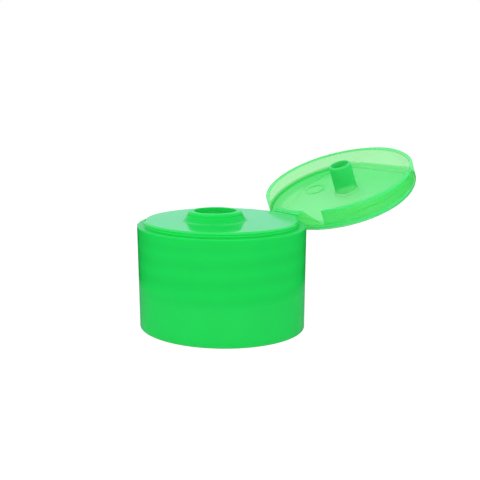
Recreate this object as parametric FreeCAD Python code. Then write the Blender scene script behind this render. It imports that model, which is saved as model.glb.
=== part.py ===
"""Flip-top bottle cap with a film-hinged lid, shown open.

One polypropylene moulding. Its two stiff parts are modelled here: the cap body
(outer skirt, threaded sleeve, raised deck and spout) and the lid (shallow cup,
sealing plug, thumb lip and hinge strap). Millimetres, +Z up. The origin is on
the neck axis at the mouth of the threaded sleeve, the hinge is on the +X side.
"""
import FreeCAD, Part
import math
import os

Vector = FreeCAD.Vector

# Neck and skirt
thread_root_radius = 12.1
sleeve_wall = 0.8
sleeve_depth = 11.7
sleeve_to_skirt = 0.9
skirt_wall = 0.95
skirt_below_sleeve = 6.1
skirt_extra_length = 0.85
skirt_taper = 0.2
skirt_edge_bevel = 0.15

# Deck and the land that the lid closes round
deck_thickness = 1.4
land_height = 0.85
land_side_clearance = 0.2
land_end_clearance = 0.55
land_edge_bevel = 0.3

# Spout
spout_offset = 1.4
spout_height = 1.7
spout_radius = 4.85
spout_draft = 0.4
spout_flare = 1.15
spout_flare_height = 0.45
spout_flare_bend = 0.28
spout_lip = 1.1
spout_edge_round = 0.6
round_deflection = 0.012
spout_mouth_depth = 0.9
funnel_bulge = 0.25
orifice_radius = 2.55
orifice_length = 0.7

# Lid
lid_inset = 0.38
lid_wall = 0.6
lid_plate = 1.05
lid_headroom = 0.95
lid_rim_gap = 0.1
lid_edge_round = 1.75
lid_inner_bevel = 0.3
lid_open_angle = 158.2

# Thumb lip and the slanted face above it
lip_height = 0.95
lip_reach = 0.2
lip_half_width = 5.0
thumb_face_inset = 2.0

# Sealing plug
plug_clearance = 0.35
plug_reach = 2.35
plug_wall = 0.5
plug_bore_depth = 4.35
plug_tip_bevel = 0.25
plug_root_bevel = 0.3

# Hinge strap between two notches in the lid's back wall
hinge_stand_off = 0.2
hinge_above_rim = 0.27
hinge_clearance = 0.15
film_thickness = 0.35
strap_half_width = 3.5
strap_foot_half_width = 6.6
notch_half_width = 7.55
notch_depth = 2.7

# Marks moulded in the lid's ceiling
panel_depth = 0.2
panel_from_hinge = 4.25
panel_from_thumb_face = 0.5
panel_start_half_width = 8.2
panel_neck_half_width = 9.1
panel_half_width = 11.3
panel_end_half_width = 7.2
panel_neck_length = 5.75
panel_shoulder = 4.3
ring_radius = 2.1
ring_line = 0.3
ring_height = 0.2
ring_side = 8.0
ring_forward = 0.2

# Levels and places worked out from the sizes above
skirt_bottom = -skirt_below_sleeve
deck_underside = sleeve_depth
land_top = deck_underside + deck_thickness
ledge = land_top - land_height
spout_top = land_top + spout_height
spout_x = -spout_offset

half_width = thread_root_radius + sleeve_wall + sleeve_to_skirt + skirt_wall
half_length = half_width + skirt_extra_length
lid_half_width = half_width - lid_inset
lid_half_length = half_length - lid_inset
cup_half_width = lid_half_width - lid_wall
cup_half_length = lid_half_length - lid_wall
land_half_width = cup_half_width - land_side_clearance
land_half_length = cup_half_length - land_end_clearance

hinge_x = half_width + hinge_stand_off
hinge_z = ledge + lid_rim_gap + hinge_above_rim
lid_depth = land_height + spout_height - lid_rim_gap + lid_headroom
lid_height = lid_depth + lid_plate
lid_end = hinge_x + lid_half_width
plug_radius = orifice_radius - plug_clearance
plug_u = hinge_x - spout_x


def oval(half_x, half_y, z, centre_x=0.0):
    """Closed elliptical wire at height z, its long axis along X or Y."""
    centre = Vector(centre_x, 0, z)
    ends = [Vector(centre_x + half_x, 0, z), Vector(centre_x, half_y, z)]
    ends.sort(key=centre.distanceToPoint, reverse=True)
    return Part.Wire(Part.Ellipse(ends[0], ends[1], centre).toShape())


def oval_block(half_x, half_y, low, high, centre_x=0.0):
    """Straight elliptical block from low to high."""
    face = Part.Face(oval(half_x, half_y, low, centre_x))
    return face.extrude(Vector(0, 0, high - low))


def tapered_oval(inset, low, high):
    """Block inside the skirt's outline, narrower at the bottom by the taper."""
    lower = oval(half_width - inset - skirt_taper, half_length - inset - skirt_taper, low)
    upper = oval(half_width - inset, half_length - inset, high)
    return Part.makeLoft([lower, upper], True)


def edges_at(shape, z):
    """Edges that lie flat at height z."""
    near = 1e-5
    return [e for e in shape.Edges
            if abs(e.BoundBox.ZMin - z) < near and abs(e.BoundBox.ZMax - z) < near]


def round_at(shape, z, radius):
    """Rounds the edges that lie flat at height z."""
    return shape.makeFillet(radius, edges_at(shape, z))


def bevel_at(shape, z, size):
    """Bevels the edges that lie flat at height z."""
    return shape.makeChamfer(size, edges_at(shape, z))


def side_prism(points, low_y, high_y):
    """Block with a polygon section in the XZ plane, from low_y to high_y."""
    corners = [Vector(x, low_y, z) for x, z in points]
    face = Part.Face(Part.makePolygon(corners + corners[:1]))
    return face.extrude(Vector(0, high_y - low_y, 0))


def turned(edges, axis_x):
    """Solid turned about the vertical line at axis_x from its half section."""
    face = Part.Face(Part.Wire(edges))
    face.translate(Vector(axis_x, 0, 0))
    return face.revolve(Vector(axis_x, 0, 0), Vector(0, 0, 1), 360)


def line(a, b):
    """Straight edge in the XZ plane between two (x, z) points."""
    return Part.makeLine(Vector(a[0], 0, a[1]), Vector(b[0], 0, b[1]))


def arc(a, middle, b):
    """Circular edge in the XZ plane through three (x, z) points."""
    ends = [Vector(p[0], 0, p[1]) for p in (a, middle, b)]
    return Part.Arc(*ends).toShape()


def stepped(a, middle, b):
    """Short straight edges along the arc through three (x, z) points."""
    points = arc(a, middle, b).discretize(Deflection=round_deflection)
    return [Part.makeLine(start, end) for start, end in zip(points, points[1:])]


def quarter(a, corner, b):
    """Stepped arc from a to b that touches the two straight lines meeting at corner."""
    share = 1 - math.sqrt(0.5)
    middle = [corner[i] + (a[i] - corner[i] + b[i] - corner[i]) * share for i in (0, 1)]
    return stepped(a, middle, b)


def spout_form():
    """Outside of the spout: hollow flare, drafted wall and rounded lip."""
    wall_foot = spout_radius + spout_draft
    flare = wall_foot + spout_flare
    foot = land_top - deck_thickness / 2
    shoulder = land_top + spout_flare_height
    bend = (wall_foot + spout_flare * spout_flare_bend,
            land_top + spout_flare_height * spout_flare_bend)
    inner_top = (spout_radius - spout_edge_round, spout_top)
    outer_top = (spout_radius, spout_top - spout_edge_round)
    return turned([
        line((0, foot), (flare, foot)),
        line((flare, foot), (flare, land_top)),
        *stepped((flare, land_top), bend, (wall_foot, shoulder)),
        line((wall_foot, shoulder), outer_top),
        *quarter(outer_top, (spout_radius, spout_top), inner_top),
        line(inner_top, (0, spout_top)),
        line((0, spout_top), (0, foot)),
    ], spout_x)


def spout_passage():
    """Space through the spout: round mouth, funnel and straight orifice."""
    mouth = spout_radius - spout_lip
    above = spout_top + spout_height
    below = deck_underside - deck_thickness
    orifice_top = deck_underside + orifice_length
    funnel_top = spout_top - spout_mouth_depth
    belly = ((mouth + orifice_radius) / 2 + funnel_bulge, (funnel_top + orifice_top) / 2)
    return turned([
        line((0, below), (orifice_radius, below)),
        line((orifice_radius, below), (orifice_radius, orifice_top)),
        arc((orifice_radius, orifice_top), belly, (mouth, funnel_top)),
        line((mouth, funnel_top), (mouth, above)),
        line((mouth, above), (0, above)),
        line((0, above), (0, below)),
    ], spout_x)


def make_cap_body():
    """Skirt, sleeve, deck, land, spout and the body's half of the hinge."""
    skirt = bevel_at(tapered_oval(0, skirt_bottom, ledge), ledge, skirt_edge_bevel)
    land = oval_block(land_half_width, land_half_length, deck_underside, land_top)
    land = bevel_at(land, land_top, land_edge_bevel)
    hollow = tapered_oval(skirt_wall, skirt_bottom, deck_underside)
    outer = Part.makeCylinder(thread_root_radius + sleeve_wall, sleeve_depth + deck_thickness / 2)
    neck = Part.makeCylinder(thread_root_radius, sleeve_depth)
    leaf = side_prism([
        (half_width - skirt_wall, ledge - film_thickness),
        (hinge_x - hinge_clearance, ledge - film_thickness),
        (hinge_x - hinge_clearance, ledge),
        (half_width - skirt_wall, ledge),
    ], -strap_half_width, strap_half_width)
    body = skirt.cut(hollow).fuse([land, outer, spout_form(), leaf])
    return body.cut(neck).cut(spout_passage()).removeSplitter()


def beyond_thumb_face(offset):
    """Space outside the slanted thumb face, moved inwards by offset."""
    top = (lid_end - offset, -lip_height)
    foot = (lid_end - thumb_face_inset - offset, -lid_height)
    slope = (top[0] - foot[0]) / (top[1] - foot[1])
    low = (foot[0] - slope * lid_height, -2 * lid_height)
    high = (top[0] + slope * lip_height, 0)
    far = lid_end + lid_height
    return side_prism([low, high, (far, high[1]), (far, low[1])], -half_length, half_length)


def lid_cup():
    """Shallow oval cup with a rounded outer edge and the slanted thumb face."""
    outer = oval_block(lid_half_width, lid_half_length, -lid_height, 0, hinge_x)
    outer = round_at(outer, -lid_height, lid_edge_round)
    inner = oval_block(cup_half_width, cup_half_length, -lid_depth, lid_depth, hinge_x)
    inner = bevel_at(inner, -lid_depth, lid_inner_bevel)
    band = oval_block(lid_half_width, lid_half_length, -lip_height, 0, hinge_x)
    outer = outer.cut(beyond_thumb_face(0)).fuse([band, thumb_lip(), hinge_leaf()])
    return outer.cut(inner.cut(beyond_thumb_face(lid_wall)))


def thumb_lip():
    """Crescent band that stands out from the rim opposite the hinge."""
    share = math.sqrt(1 - (lip_half_width / lid_half_length) ** 2)
    rise = lid_half_width * (1 - share) + lip_reach
    radius = (lip_half_width ** 2 + rise ** 2) / (2 * rise)
    tip = lid_end + lip_reach
    disc = Part.makeCylinder(radius, lip_height, Vector(tip - radius, 0, -lip_height))
    keep = Part.makeBox(2 * radius, 2 * lip_half_width, lip_height,
                        Vector(tip - rise, -lip_half_width, -lip_height))
    return disc.common(keep)


def hinge_leaf():
    """Lid's half of the hinge film, from the hinge line to the strap."""
    low = -hinge_above_rim - film_thickness / 2
    high = low + film_thickness
    far = hinge_stand_off + lid_inset + lid_edge_round
    return side_prism([
        (hinge_clearance, low),
        (far, low),
        (far, high),
        (hinge_clearance, high),
    ], -strap_half_width, strap_half_width)


def hinge_notches():
    """Two openings in the back wall that leave the strap widening to its foot."""
    share = math.sqrt(1 - (notch_half_width / cup_half_length) ** 2)
    reach = hinge_x - cup_half_width * share + lid_inner_bevel
    slope = (strap_foot_half_width - strap_half_width) / notch_depth
    outline = [
        (strap_half_width - slope * notch_depth, notch_depth),
        (strap_foot_half_width, -notch_depth),
        (notch_half_width, -notch_depth),
        (notch_half_width, notch_depth),
    ]
    corners = [Vector(-half_width, y, z) for y, z in outline]
    face = Part.Face(Part.makePolygon(corners + corners[:1]))
    notch = face.extrude(Vector(reach + half_width, 0, 0))
    return notch.fuse(notch.mirror(Vector(0, 0, 0), Vector(0, 1, 0)))


def plug():
    """Hollow plug on the lid's ceiling that shuts the orifice."""
    tip = plug_reach
    root = -lid_depth
    bore = plug_radius - plug_wall
    edge = plug_radius - plug_tip_bevel
    flared = plug_radius + plug_root_bevel
    floor = tip - plug_bore_depth
    sunk = root - lid_plate / 2
    return turned([
        line((0, sunk), (flared, sunk)),
        line((flared, sunk), (flared, root)),
        line((flared, root), (plug_radius, root + plug_root_bevel)),
        line((plug_radius, root + plug_root_bevel), (plug_radius, tip - plug_tip_bevel)),
        line((plug_radius, tip - plug_tip_bevel), (edge, tip)),
        line((edge, tip), (bore, tip)),
        line((bore, tip), (bore, floor)),
        line((bore, floor), (0, floor)),
        line((0, floor), (0, sunk)),
    ], plug_u)


def ceiling_panel():
    """Shallow recess in the ceiling that ends at the slanted thumb face."""
    neck_end = panel_from_hinge + panel_neck_length
    end = lid_end - thumb_face_inset - lid_wall - panel_from_thumb_face
    outline = [
        (panel_from_hinge, panel_start_half_width),
        (neck_end, panel_neck_half_width),
        (neck_end + panel_shoulder, panel_half_width),
        (end - panel_shoulder, panel_half_width),
        (end, panel_end_half_width),
    ]
    mirrored = [(x, -y) for x, y in reversed(outline)]
    corners = [Vector(x, y, -lid_depth - panel_depth) for x, y in outline + mirrored]
    face = Part.Face(Part.makePolygon(corners + corners[:1]))
    return face.extrude(Vector(0, 0, 2 * panel_depth))


def moulding_ring():
    """Plain raised ring beside the plug."""
    centre = Vector(hinge_x + ring_forward, ring_side, -lid_depth - 2 * panel_depth)
    height = panel_depth + ring_height
    outer = Part.makeCylinder(ring_radius, height, centre)
    inner = Part.makeCylinder(ring_radius - ring_line, height, centre)
    return outer.cut(inner)


def make_cap_lid():
    """Lid with its plug and ring, swung open about the hinge line."""
    cup = lid_cup().cut(hinge_notches()).cut(ceiling_panel())
    lid = cup.fuse([plug(), moulding_ring()]).removeSplitter()
    lid.translate(Vector(0, 0, hinge_above_rim))
    lid.rotate(Vector(0, 0, 0), Vector(0, 1, 0), lid_open_angle - 180)
    lid.translate(Vector(hinge_x, 0, hinge_z))
    return lid


os.makedirs("parts", exist_ok=True)
make_cap_body().exportStep("parts/cap_body.step")
make_cap_lid().exportStep("parts/cap_lid.step")
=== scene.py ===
"""Flip-top bottle cap in translucent green plastic, standing open in a soft studio."""
import bpy
import math
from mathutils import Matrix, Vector


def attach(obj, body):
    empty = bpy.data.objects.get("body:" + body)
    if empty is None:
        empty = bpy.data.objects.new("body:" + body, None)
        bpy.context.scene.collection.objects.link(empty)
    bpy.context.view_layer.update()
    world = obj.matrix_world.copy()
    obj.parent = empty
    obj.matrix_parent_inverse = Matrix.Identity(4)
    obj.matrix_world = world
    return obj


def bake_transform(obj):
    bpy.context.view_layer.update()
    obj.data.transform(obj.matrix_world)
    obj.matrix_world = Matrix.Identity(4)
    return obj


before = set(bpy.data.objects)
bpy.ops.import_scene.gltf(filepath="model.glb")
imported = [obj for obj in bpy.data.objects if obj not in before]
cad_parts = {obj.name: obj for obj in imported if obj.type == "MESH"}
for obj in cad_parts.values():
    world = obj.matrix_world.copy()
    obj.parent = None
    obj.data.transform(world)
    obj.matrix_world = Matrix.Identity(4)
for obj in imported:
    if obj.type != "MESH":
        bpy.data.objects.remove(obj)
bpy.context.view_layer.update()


# Cap body: the skirt, deck and spout with the threaded sleeve inside. It is one
# injection moulding in green polypropylene, glossy outside and clouded within. The
# soft bands where the sleeve's thread would show through the wall are painted shade
# in the wall's green.
MM = 0.001
PLASTIC_IOR = 1.49
PLAIN_GLOSS = 0.22
CLOUDING = 0.55
CLOUD_REACH = (0.35, 1.0, 0.45)
CLOUD_DEPTH = 1.6 * MM
FLOW_SCALE, FLOW_DETAIL = 90.0, 3.0
FLOW_HAZE = 0.06
FLOW_SHADE = 0.10
RIPPLE_SCALE, RIPPLE_DETAIL = 700.0, 2.0
RIPPLE_STRENGTH = 0.05
RIPPLE_HEIGHT = 0.02 * MM
BODY_GREEN = (0.013, 0.640, 0.094, 1.0)
BODY_THROUGH = (0.45, 0.95, 0.52, 1.0)
BODY_HAZE = 0.10
BODY_CLEARNESS = 0.08
DECK_TOP = 13.1 * MM
LEDGE = 12.25 * MM
LEDGE_REACH = 0.10 * MM
DECK_REACH = 0.12 * MM
LAND_SIDE, LAND_SIDE_REACH = LEDGE + 0.22 * MM, 0.20 * MM
GROOVE, GROOVE_REACH = LEDGE + 0.16 * MM, 0.15 * MM
BAND_PITCH = 3.18 * MM
BAND_START = 0.16 * MM
BANDS_FROM, BANDS_TO = 0.4 * MM, 10.6 * MM
BAND_PAINTED_SHADE = 0.03
# Painted shade on the ledge and painted light on the land's side and in the groove, as shares of the
# wall's green.
LEDGE_PAINTED_SHADE, LAND_SIDE_PAINTED_LIGHT, GROOVE_PAINTED_LIGHT = -0.18, 0.11, 0.25
SKIRT_GLOSS = 0.50
DECK_GLOSS, LEDGE_GLOSS, SPOUT_GLOSS = 0.20, -0.42, -0.44


class Plastic:
    """Tinted polypropylene: clouded wall under a polished skin, with slow flow marks."""

    def __init__(self, name, green, through, haze):
        self.material = bpy.data.materials.new(name)
        self.material.use_nodes = True
        self.nodes, self.links = self.material.node_tree.nodes, self.material.node_tree.links
        self.wall = self.nodes["Principled BSDF"]
        self.wall.inputs["IOR"].default_value = PLASTIC_IOR
        self.wall.inputs["Specular IOR Level"].default_value = PLAIN_GLOSS
        self.wall.inputs["Subsurface Weight"].default_value = CLOUDING
        self.wall.inputs["Subsurface Radius"].default_value = CLOUD_REACH
        self.wall.inputs["Subsurface Scale"].default_value = CLOUD_DEPTH
        clear = self.nodes.new("ShaderNodeBsdfTransparent")
        clear.inputs["Color"].default_value = through
        self.blend = self.nodes.new("ShaderNodeMixShader")
        self.links.new(self.wall.outputs["BSDF"], self.blend.inputs[1])
        self.links.new(clear.outputs["BSDF"], self.blend.inputs[2])
        self.links.new(self.blend.outputs["Shader"], self.nodes["Material Output"].inputs["Surface"])
        self.place = self.nodes.new("ShaderNodeTexCoord").outputs["Object"]
        self.green = green
        self.flow = self.noise(FLOW_SCALE, FLOW_DETAIL)
        self.strength = self.maths("MULTIPLY_ADD", self.flow, FLOW_SHADE, 1.0 - FLOW_SHADE / 2)
        rough = self.maths("MULTIPLY_ADD", self.flow, FLOW_HAZE, haze - FLOW_HAZE / 2)
        self.links.new(rough, self.wall.inputs["Roughness"])
        ripple = self.nodes.new("ShaderNodeBump")
        ripple.inputs["Strength"].default_value = RIPPLE_STRENGTH
        ripple.inputs["Distance"].default_value = RIPPLE_HEIGHT
        self.links.new(self.noise(RIPPLE_SCALE, RIPPLE_DETAIL), ripple.inputs["Height"])
        self.links.new(ripple.outputs["Normal"], self.wall.inputs["Normal"])

    def noise(self, scale, detail):
        """Soft noise in the piece's own space."""
        spread = self.nodes.new("ShaderNodeTexNoise")
        spread.inputs["Scale"].default_value = scale
        spread.inputs["Detail"].default_value = detail
        self.links.new(self.place, spread.inputs["Vector"])
        return spread.outputs["Fac"]

    def maths(self, kind, first, second=0.0, third=0.0):
        """Adds one step of arithmetic and returns its result."""
        step = self.nodes.new("ShaderNodeMath")
        step.operation = kind
        for socket, value in zip(step.inputs, (first, second, third)):
            if isinstance(value, float):
                socket.default_value = value
            else:
                self.links.new(value, socket)
        return step.outputs["Value"]

    def vectors(self, kind, result, first, second=None):
        """Adds one step of vector arithmetic and returns the result asked for."""
        step = self.nodes.new("ShaderNodeVectorMath")
        step.operation = kind
        self.links.new(first, step.inputs[0])
        if second is not None:
            step.inputs[1].default_value = second
        return step.outputs[result]

    def above(self, value, level):
        """One where the value is over the level, else nought."""
        return self.maths("GREATER_THAN", value, level)

    def below(self, value, level):
        """One where the value is under the level, else nought."""
        return self.maths("LESS_THAN", value, level)

    def near(self, value, middle, reach):
        """One where the value lies within reach of the middle, else nought."""
        return self.maths("COMPARE", value, middle, reach)

    def ramp(self, value, start, end):
        """Climbs from nought at the start to one at the end."""
        slope = 1.0 / (end - start)
        climbing = self.maths("MULTIPLY_ADD", value, slope, -start * slope)
        return self.maths("MINIMUM", self.maths("MAXIMUM", climbing, 0.0), 1.0)

    def both(self, first, second):
        """The share that two shares have in common."""
        return self.maths("MULTIPLY", first, second)

    def without(self, first, second):
        """The first share where the second is nought."""
        return self.both(first, self.maths("SUBTRACT", 1.0, second))

    def added(self, value, share, amount):
        """The value with an amount added over a share of the surface."""
        return self.maths("MULTIPLY_ADD", share, amount, value)

    def paint(self):
        """Gives the wall its green, dimmed or lifted by the strength."""
        level = self.nodes.new("ShaderNodeCombineColor")
        for channel in ("Red", "Green", "Blue"):
            self.links.new(self.strength, level.inputs[channel])
        tint = self.nodes.new("ShaderNodeMix")
        tint.data_type = "RGBA"
        tint.blend_type = "MULTIPLY"
        tint.inputs["Factor"].default_value = 1.0
        tint.inputs["A"].default_value = self.green
        self.links.new(level.outputs["Color"], tint.inputs["B"])
        self.links.new(tint.outputs["Result"], self.wall.inputs["Base Color"])


def dress_node(name, material):
    """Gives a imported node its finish."""
    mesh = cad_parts[name].data
    mesh.materials.clear()
    mesh.materials.append(material)


body = Plastic("body_plastic", BODY_GREEN, BODY_THROUGH, BODY_HAZE)
axes = body.nodes.new("ShaderNodeSeparateXYZ")
body.links.new(body.place, axes.inputs["Vector"])
height = axes.outputs["Z"]
turn = body.maths("ARCTAN2", axes.outputs["Y"], axes.outputs["X"])
turn = body.maths("DIVIDE", turn, 2 * math.pi)
climb = body.maths("DIVIDE", body.maths("SUBTRACT", height, BAND_START), BAND_PITCH)
wave = body.maths("MULTIPLY", body.maths("SUBTRACT", climb, turn), 2 * math.pi)
wave = body.maths("SINE", wave)
on_sleeve = body.both(body.above(height, BANDS_FROM), body.below(height, BANDS_TO))
on_ledge = body.near(height, LEDGE, LEDGE_REACH)
painted_light_on_land_side = body.near(height, LAND_SIDE, LAND_SIDE_REACH)
painted_light_in_groove = body.near(height, GROOVE, GROOVE_REACH)
on_deck = body.near(height, DECK_TOP, DECK_REACH)
on_spout = body.above(height, DECK_TOP + DECK_REACH)
# Painted shade: soft darker bands wound at the thread's pitch, where the thread would show through
# the wall.
body.strength = body.added(body.strength, body.both(wave, on_sleeve), BAND_PAINTED_SHADE)
# Painted shade darkens the ledge's lit edge; painted light lifts the land's side and the groove at
# its foot out of their shadow.
body.strength = body.added(body.strength, on_ledge, LEDGE_PAINTED_SHADE)
body.strength = body.added(body.strength, painted_light_on_land_side, LAND_SIDE_PAINTED_LIGHT)
body.strength = body.added(body.strength, painted_light_in_groove, GROOVE_PAINTED_LIGHT)
body.paint()
gloss = body.maths("MULTIPLY_ADD", on_deck, DECK_GLOSS, SKIRT_GLOSS)
gloss = body.added(gloss, on_ledge, LEDGE_GLOSS)
gloss = body.added(gloss, on_spout, SPOUT_GLOSS)
body.links.new(gloss, body.wall.inputs["Specular IOR Level"])
body.blend.inputs["Fac"].default_value = BODY_CLEARNESS
dress_node("cap_body", body.material)


# Neck thread: the single right-hand ridge inside the sleeve that screws onto the
# bottle. It is part of the same moulding. The darker bands over it on the skirt
# are painted shade in the body's green, wound at the same pitch as this ridge.
THREAD_ROOT = 12.1 * MM
THREAD_CREST = 11.25 * MM
THREAD_PITCH = BAND_PITCH
THREAD_SUNK = 0.05 * MM
THREAD_BASE_HALF = 0.85 * MM
THREAD_CREST_HALF = 0.40 * MM
THREAD_START_Z = 1.15 * MM
THREAD_START_ANGLE = math.radians(180.0)
THREAD_TURNS = 2.5
THREAD_STEPS = 240
THREAD_SMOOTH = math.radians(30.0)


def new_piece(name):
    """Names the primitive just added and its mesh."""
    piece = bpy.context.object
    piece.name = name
    piece.data.name = name
    return piece


def seat_piece(piece):
    """Leaves the piece's place in its mesh and its object at the origin."""
    bpy.ops.object.select_all(action="DESELECT")
    piece.select_set(True)
    bpy.context.view_layer.objects.active = piece
    bpy.ops.object.transform_apply(location=True, rotation=True, scale=True)


bpy.ops.object.select_all(action="DESELECT")
bpy.ops.mesh.primitive_plane_add(size=2.0 * MM, rotation=(math.radians(90.0), 0, 0),
                                 location=(0, 0, 0))
thread = new_piece("neck_thread")
seat_piece(thread)
corners = sorted(thread.data.vertices, key=lambda v: (v.co.x, v.co.z))
places = [
    (THREAD_CREST, -THREAD_CREST_HALF), (THREAD_CREST, THREAD_CREST_HALF),
    (THREAD_ROOT + THREAD_SUNK, -THREAD_BASE_HALF), (THREAD_ROOT + THREAD_SUNK, THREAD_BASE_HALF),
]
for corner, (radius, level) in zip(corners, places):
    corner.co = Vector((radius, 0, level))
bpy.ops.object.mode_set(mode="EDIT")
bpy.ops.mesh.select_all(action="SELECT")
bpy.ops.mesh.delete(type="ONLY_FACE")
bpy.ops.object.mode_set(mode="OBJECT")
winding = thread.modifiers.new("winding", "SCREW")
winding.axis = "Z"
winding.angle = 2 * math.pi * THREAD_TURNS
winding.screw_offset = THREAD_PITCH * THREAD_TURNS
winding.steps = THREAD_STEPS
winding.render_steps = THREAD_STEPS
winding.use_normal_calculate = True
bpy.ops.object.modifier_apply(modifier="winding")
thread.rotation_euler = (0, 0, THREAD_START_ANGLE)
thread.location = (0, 0, THREAD_START_Z)
seat_piece(thread)
bpy.ops.object.mode_set(mode="EDIT")
bpy.ops.mesh.select_all(action="DESELECT")
bpy.ops.mesh.select_non_manifold()
bpy.ops.mesh.fill()
bpy.ops.mesh.select_all(action="SELECT")
bpy.ops.mesh.normals_make_consistent(inside=False)
bpy.ops.object.mode_set(mode="OBJECT")
bpy.ops.object.shade_smooth_by_angle(angle=THREAD_SMOOTH)
thread.data.materials.append(body.material)
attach(thread, "body")


# Lid: the shallow cup with its plug, thumb lip and hinge strap, from the same
# plastic. Its walls are thinner than the body's, so it looks paler and lets more
# light through, while its rim and plug stay nearly as green as the body. Painted
# shade deepens the green at the inner corner and on the outer bevel, over the
# thumb half of the ceiling and on the hinge-side walls.
LID_GREEN = (0.055, 0.740, 0.185, 1.0)
LID_THROUGH = (0.71, 0.965, 0.72, 1.0)
LID_HAZE = 0.14
LID_TILT = math.radians(21.8)
LID_CEILING = 3.036 * MM
LID_WALLS_FROM = 3.30 * MM
LID_BEVEL_TO = LID_CEILING - 0.08 * MM
LID_CORNER_TO, LID_CORNER_FADE = 3.56 * MM, 3.96 * MM
RIM_CENTRE = (28.73 * MM, 0.0, 18.42 * MM)
RIM_HALF_WIDTH = 14.37 * MM
RIM_HALF_LENGTH = 15.22 * MM
RIM_LEVEL = 6.436 * MM
RIM_BAND = 0.30 * MM
PLUG_AXIS_POINT = (30.03 * MM, 0.0, 18.94 * MM)
PLUG_REACH = 2.70 * MM

# Shares of the rim oval's half width or half length: 0 is its middle and 1 its edge.
BEVEL_FROM = 0.90
CORNER_FADE, CORNER_FROM = 0.965, 0.990
THUMB_FACE_FADE, THUMB_FACE_TO = 0.64, 0.44
THUMB_SIDE_FADE, THUMB_SIDE_FROM = -0.10, 0.2333
HINGE_SIDE_FADE, HINGE_SIDE_TO = -0.5455, -1.0
STRAP_SIDE = 0.45

CEILING_CLEARNESS = 0.60
WALL_CLEARNESS = 0.26
# Plug and rim clearness follow their thickness; the corner, bevel, thumb-side and hinge-side values
# are painted shade.
PLUG_CLEARNESS, RIM_CLEARNESS, EDGE_PAINTED_SHADE = -0.61, -0.56, -0.60
BEVEL_PAINTED_SHADE_SHARE = 0.45
THUMB_SIDE_PAINTED_SHADE, HINGE_SIDE_PAINTED_SHADE = -0.12, -0.30

lid = Plastic("lid_plastic", LID_GREEN, LID_THROUGH, LID_HAZE)
out_of_lid = (-math.sin(LID_TILT), 0.0, math.cos(LID_TILT))
along = (math.cos(LID_TILT) / RIM_HALF_WIDTH, 0.0, math.sin(LID_TILT) / RIM_HALF_WIDTH)
across = (0.0, 1.0 / RIM_HALF_LENGTH, 0.0)
lid_level = lid.vectors("DOT_PRODUCT", "Value", lid.place, out_of_lid)
from_centre = lid.vectors("SUBTRACT", "Vector", lid.place, RIM_CENTRE)
out_along = lid.vectors("DOT_PRODUCT", "Value", from_centre, along)
out_across = lid.vectors("DOT_PRODUCT", "Value", from_centre, across)
outwards = lid.maths("MULTIPLY", out_across, out_across)
outwards = lid.maths("SQRT", lid.maths("MULTIPLY_ADD", out_along, out_along, outwards))
out_across = lid.maths("ABSOLUTE", out_across)
from_plug = lid.vectors("SUBTRACT", "Vector", lid.place, PLUG_AXIS_POINT)
from_plug = lid.vectors("CROSS_PRODUCT", "Vector", from_plug, out_of_lid)
from_plug = lid.vectors("LENGTH", "Value", from_plug)

on_wall = lid.above(lid_level, LID_WALLS_FROM)
on_plug = lid.both(lid.below(from_plug, PLUG_REACH), on_wall)
on_rim = lid.without(lid.above(lid_level, RIM_LEVEL - RIM_BAND), on_plug)
# Painted shade: the inner corner between ceiling and walls, and a share of it on the outer bevel,
# are made less clear and so deeper green.
on_bevel = lid.both(lid.above(outwards, BEVEL_FROM), lid.below(lid_level, LID_BEVEL_TO))
painted_edge_shade = lid.both(lid.ramp(outwards, CORNER_FADE, CORNER_FROM),
                     lid.ramp(lid_level, LID_CORNER_FADE, LID_CORNER_TO))
painted_edge_shade = lid.maths("MAXIMUM", painted_edge_shade, lid.maths("MULTIPLY", on_bevel, BEVEL_PAINTED_SHADE_SHARE))
on_thumb_face = lid.both(lid.ramp(out_across, THUMB_FACE_FADE, THUMB_FACE_TO),
                         lid.above(out_along, 0.0))
painted_edge_shade = lid.without(painted_edge_shade, on_thumb_face)
# Painted shade: the ceiling's thumb half and the hinge-side walls beside the strap are made less
# clear and so deeper green.
thumb_side_painted_shade = lid.ramp(out_along, THUMB_SIDE_FADE, THUMB_SIDE_FROM)
thumb_side_painted_shade = lid.without(lid.without(thumb_side_painted_shade, on_wall), painted_edge_shade)
hinge_side_painted_shade = lid.both(lid.ramp(out_along, HINGE_SIDE_FADE, HINGE_SIDE_TO), on_wall)
hinge_side_painted_shade = lid.both(hinge_side_painted_shade, lid.above(out_across, STRAP_SIDE))
hinge_side_painted_shade = lid.without(lid.without(hinge_side_painted_shade, on_rim), painted_edge_shade)

clearness = lid.maths("MULTIPLY_ADD", on_wall, WALL_CLEARNESS, CEILING_CLEARNESS)
clearness = lid.added(clearness, on_plug, PLUG_CLEARNESS)
clearness = lid.added(clearness, on_rim, RIM_CLEARNESS)
clearness = lid.added(clearness, painted_edge_shade, EDGE_PAINTED_SHADE)
clearness = lid.added(clearness, thumb_side_painted_shade, THUMB_SIDE_PAINTED_SHADE)
clearness = lid.added(clearness, hinge_side_painted_shade, HINGE_SIDE_PAINTED_SHADE)
lid.links.new(clearness, lid.blend.inputs["Fac"])
lid.paint()
dress_node("cap_lid", lid.material)


# Hinge film: the thin web of the same plastic along the hinge line. It joins the
# body's leaf to the lid's strap; on the real cap it bends each time the lid is
# opened, and here it is one fixed straight slab.
FILM_HALF_WIDTH = 3.45 * MM
FILM_BODY_END = ((14.70 * MM, 11.93 * MM), (14.70 * MM, 12.23 * MM))
FILM_LID_END = ((15.22 * MM, 12.55 * MM), (15.10 * MM, 12.84 * MM))
FILM_CUTS = 5

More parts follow.
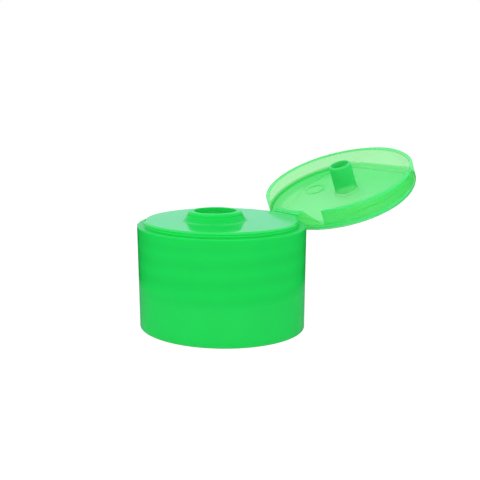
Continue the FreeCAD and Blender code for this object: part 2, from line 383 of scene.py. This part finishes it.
bpy.ops.object.select_all(action="DESELECT")
bpy.ops.mesh.primitive_cube_add(size=1.0 * MM)
film = new_piece("hinge_film")
for v in film.data.vertices:
    x, z = (FILM_LID_END if v.co.x > 0 else FILM_BODY_END)[1 if v.co.z > 0 else 0]
    v.co = Vector((x, math.copysign(FILM_HALF_WIDTH, v.co.y), z))
bpy.ops.object.mode_set(mode="EDIT")
bpy.ops.mesh.select_all(action="SELECT")
bpy.ops.mesh.subdivide(number_cuts=FILM_CUTS)
bpy.ops.object.mode_set(mode="OBJECT")
seat_piece(film)
film.data.materials.append(body.material)
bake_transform(film)


# Floor: the plain pale table that the cap stands on, with white all round it. A
# gloss sees a painted reflection on it, a faint cool glow near the cap that is dark
# beyond, standing in for a small lit tent.
FLOOR_Z = -6.1 * MM
FLOOR_SIZE = 40.0
FLOOR_PALE = (0.90, 0.90, 0.90, 1.0)
FLOOR_ROUGHNESS = 0.9
FLOOR_WHITE = 1.12
FLOOR_WHITE_SHARE = 0.80
TABLE_RADIUS = 36.0 * MM
TABLE_FADE = 8.0 * MM
TABLE_PAINTED_REFLECTION = 0.24
TABLE_PAINTED_REFLECTION_TINT = (0.55, 1.0, 1.0, 1.0)


def seen_plainly(nodes, links):
    """One for a ray from the camera or one that came through plastic, else nought."""
    path = nodes.new("ShaderNodeLightPath")
    either = nodes.new("ShaderNodeMath")
    either.operation = "MAXIMUM"
    links.new(path.outputs["Is Camera Ray"], either.inputs[0])
    links.new(path.outputs["Is Transmission Ray"], either.inputs[1])
    return either.outputs["Value"]


def seen_mirrored(nodes, links):
    """One for a ray thrown back by a gloss, and nought elsewhere."""
    path = nodes.new("ShaderNodeLightPath")
    thrown = nodes.new("ShaderNodeMath")
    thrown.operation = "SUBTRACT"
    thrown.use_clamp = True
    links.new(path.outputs["Is Glossy Ray"], thrown.inputs[0])
    links.new(path.outputs["Is Transmission Ray"], thrown.inputs[1])
    return thrown.outputs["Value"]


bpy.ops.object.select_all(action="DESELECT")
bpy.ops.mesh.primitive_plane_add(size=FLOOR_SIZE, location=(0, 0, FLOOR_Z))
floor = new_piece("floor")
floor_paint = bpy.data.materials.new("floor_paint")
floor_paint.use_nodes = True
nodes, links = floor_paint.node_tree.nodes, floor_paint.node_tree.links
table = nodes["Principled BSDF"]
table.inputs["Base Color"].default_value = FLOOR_PALE
table.inputs["Roughness"].default_value = FLOOR_ROUGHNESS
white = nodes.new("ShaderNodeEmission")
white.inputs["Strength"].default_value = FLOOR_WHITE
share = nodes.new("ShaderNodeMath")
share.operation = "MULTIPLY"
share.inputs[1].default_value = FLOOR_WHITE_SHARE
links.new(seen_plainly(nodes, links), share.inputs[0])
direct = nodes.new("ShaderNodeMixShader")
links.new(share.outputs["Value"], direct.inputs["Fac"])
links.new(table.outputs["BSDF"], direct.inputs[1])
links.new(white.outputs["Emission"], direct.inputs[2])
place = nodes.new("ShaderNodeTexCoord")
reach = nodes.new("ShaderNodeVectorMath")
reach.operation = "LENGTH"
links.new(place.outputs["Object"], reach.inputs[0])
edge = nodes.new("ShaderNodeMapRange")
edge.interpolation_type = "SMOOTHSTEP"
edge.inputs["From Min"].default_value = TABLE_RADIUS
edge.inputs["From Max"].default_value = TABLE_RADIUS + TABLE_FADE
edge.inputs["To Min"].default_value = TABLE_PAINTED_REFLECTION
edge.inputs["To Max"].default_value = 0.0
links.new(reach.outputs["Value"], edge.inputs["Value"])
# Painted reflection: seen only by glosses, the table glows faintly cool near the cap and is dark
# beyond.
mirrored = nodes.new("ShaderNodeEmission")
mirrored.inputs["Color"].default_value = TABLE_PAINTED_REFLECTION_TINT
links.new(edge.outputs["Result"], mirrored.inputs["Strength"])
mixed = nodes.new("ShaderNodeMixShader")
links.new(seen_mirrored(nodes, links), mixed.inputs["Fac"])
links.new(direct.outputs["Shader"], mixed.inputs[1])
links.new(mirrored.outputs["Emission"], mixed.inputs[2])
links.new(mixed.outputs["Shader"], nodes["Material Output"].inputs["Surface"])
floor.data.materials.append(floor_paint)


# Studio: a white tent of light, which a gloss sees slightly cool, with one large
# soft lamp above on the left and a weaker one on the right.
TENT_LIGHT = 0.80
TENT_SEEN = 1.0
TENT_MIRRORED = 0.15
TENT_WHITE = (1.0, 1.0, 1.0, 1.0)
TENT_COOL = (0.62, 1.0, 1.0, 1.0)
KEY_PLACE, KEY_POWER = (-0.35, -0.15, 0.45), 1.6
FILL_PLACE, FILL_POWER = (0.30, -0.40, 0.30), 0.6
LAMP_SIZE = 0.30

world = bpy.data.worlds.new("studio")
bpy.context.scene.world = world
world.use_nodes = True
nodes, links = world.node_tree.nodes, world.node_tree.links
backdrop = nodes["Background"]
thrown = seen_mirrored(nodes, links)
veil = nodes.new("ShaderNodeMix")
veil.data_type = "RGBA"
veil.inputs["A"].default_value = TENT_WHITE
veil.inputs["B"].default_value = TENT_COOL
links.new(thrown, veil.inputs["Factor"])
links.new(veil.outputs["Result"], backdrop.inputs["Color"])
seen = nodes.new("ShaderNodeMapRange")
seen.inputs["To Min"].default_value = TENT_LIGHT
seen.inputs["To Max"].default_value = TENT_SEEN
links.new(seen_plainly(nodes, links), seen.inputs["Value"])
mirror = nodes.new("ShaderNodeMath")
mirror.operation = "MULTIPLY_ADD"
mirror.inputs[1].default_value = TENT_MIRRORED
links.new(thrown, mirror.inputs[0])
links.new(seen.outputs["Result"], mirror.inputs[2])
links.new(mirror.outputs["Value"], backdrop.inputs["Strength"])


def soft_lamp(name, place, power):
    """Square lamp turned towards the cap."""
    lamp = bpy.data.objects.new(name, bpy.data.lights.new(name, "AREA"))
    lamp.data.energy = power
    lamp.data.size = LAMP_SIZE
    lamp.visible_glossy = False
    lamp.location = place
    lamp.rotation_euler = (-Vector(place)).to_track_quat("-Z", "Y").to_euler()
    bpy.context.scene.collection.objects.link(lamp)


soft_lamp("key_lamp", KEY_PLACE, KEY_POWER)
soft_lamp("fill_lamp", FILL_PLACE, FILL_POWER)


# Camera: low and close, looking across the deck towards the open lid.
LOOK_AT = Vector((2.60, -2.04, 9.32)) * MM
STANDS_AT = Vector((-88.78, -118.71, 37.30)) * MM
LENS = 63.15
SENSOR_WIDTH = 36.0
NEAREST = 10.0 * MM

camera = bpy.data.objects.new("camera", bpy.data.cameras.new("camera"))
camera.data.lens = LENS
camera.data.sensor_width = SENSOR_WIDTH
camera.data.clip_start = NEAREST
camera.location = STANDS_AT
camera.rotation_euler = (LOOK_AT - STANDS_AT).to_track_quat("-Z", "Y").to_euler()
bpy.context.scene.collection.objects.link(camera)
bpy.context.scene.camera = camera
bpy.context.scene.view_settings.view_transform = "Standard"
